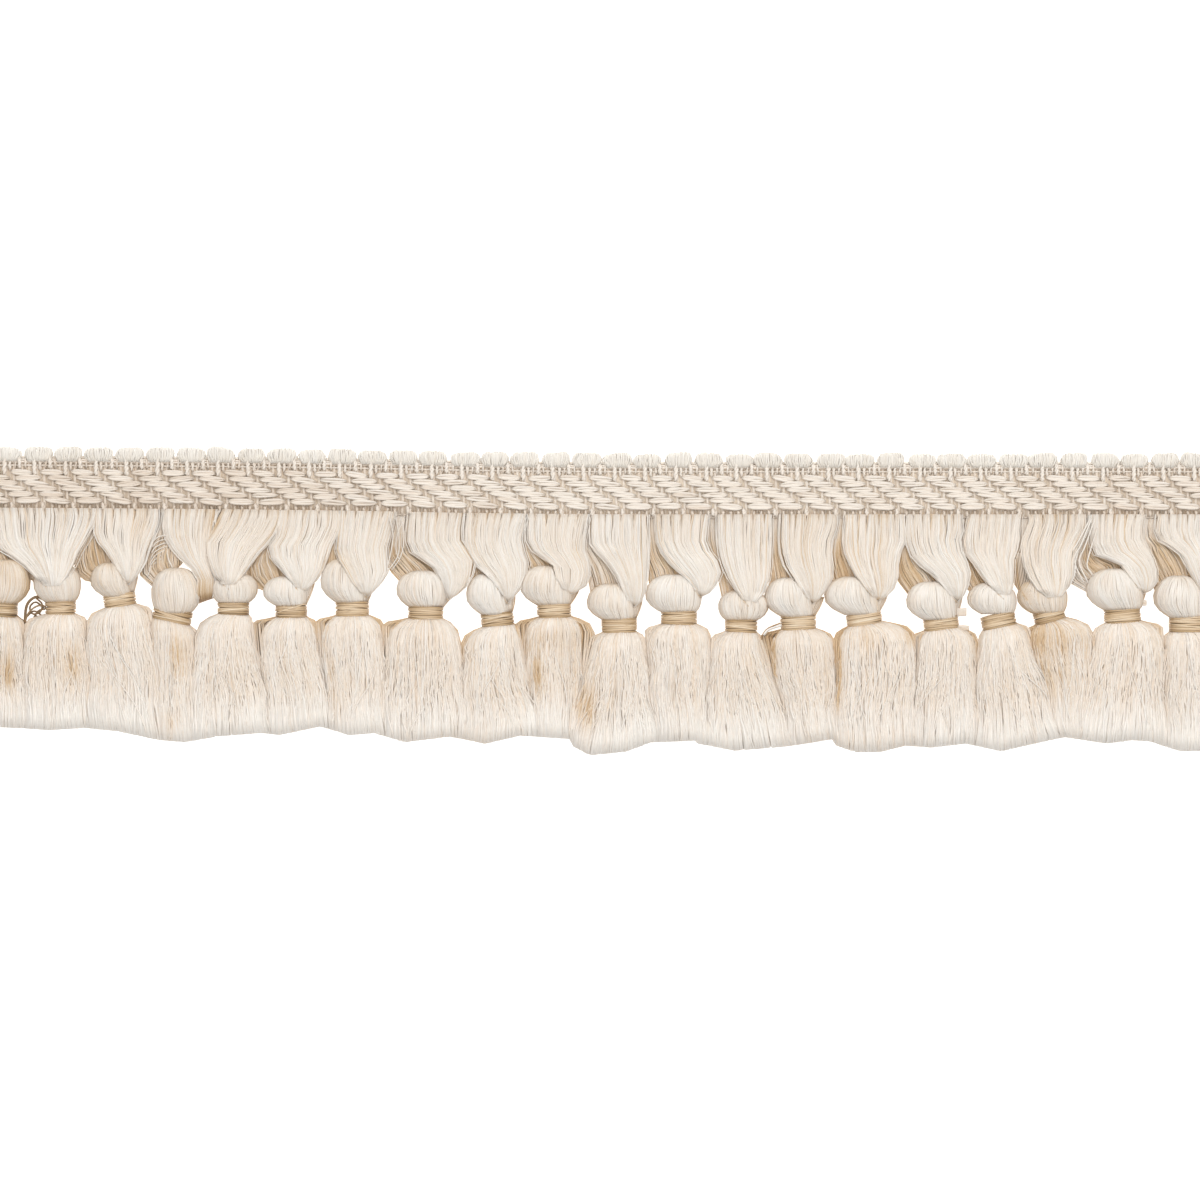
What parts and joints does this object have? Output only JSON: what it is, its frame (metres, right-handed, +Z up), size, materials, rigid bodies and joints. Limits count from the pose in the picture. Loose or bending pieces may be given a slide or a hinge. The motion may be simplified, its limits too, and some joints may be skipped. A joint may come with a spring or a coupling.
{
  "type": "knotted tassel trim, cut length",
  "caption": "Cream knotted tassel fringe on a flat braided heading with a looped upper edge; a cut length that lies flat, ready to sew or glue to an edge.",
  "frame": {"origin": "middle of the cut length in plan, on the surface it lies on", "axes": "+X along the trim, +Y from the skirts to the looped edge of the heading, +Z up from the surface"},
  "size_m": [0.266, 0.0656, 0.0074],
  "materials": {
    "heading_yarn": "chunky two-ply yarn braid, matte with a slight sheen",
    "fringe_yarn": "loose silky yarn, soft sheen",
    "tie_thread": "satin thread, wound"
  },
  "bodies": {
    "root": {"heading": "heading_yarn", "tassel_01": "fringe_yarn", "tie_01": "tie_thread", "tassel_02": "fringe_yarn", "tie_02": "tie_thread", "tassel_03": "fringe_yarn", "tie_03": "tie_thread", "tassel_04": "fringe_yarn", "tie_04": "tie_thread", "tassel_05": "fringe_yarn", "tie_05": "tie_thread", "tassel_06": "fringe_yarn", "tie_06": "tie_thread", "tassel_07": "fringe_yarn", "tie_07": "tie_thread", "tassel_08": "fringe_yarn", "tie_08": "tie_thread", "tassel_09": "fringe_yarn", "tie_09": "tie_thread", "tassel_10": "fringe_yarn", "tie_10": "tie_thread", "tassel_11": "fringe_yarn", "tie_11": "tie_thread", "tassel_12": "fringe_yarn", "tie_12": "tie_thread", "tassel_13": "fringe_yarn", "tie_13": "tie_thread", "tassel_14": "fringe_yarn", "tie_14": "tie_thread", "tassel_15": "fringe_yarn", "tie_15": "tie_thread", "tassel_16": "fringe_yarn", "tie_16": "tie_thread", "tassel_17": "fringe_yarn", "tie_17": "tie_thread", "tassel_18": "fringe_yarn", "tie_18": "tie_thread", "tassel_19": "fringe_yarn", "tie_19": "tie_thread", "tassel_20": "fringe_yarn", "tie_20": "tie_thread"}
  },
  "joints": []
}
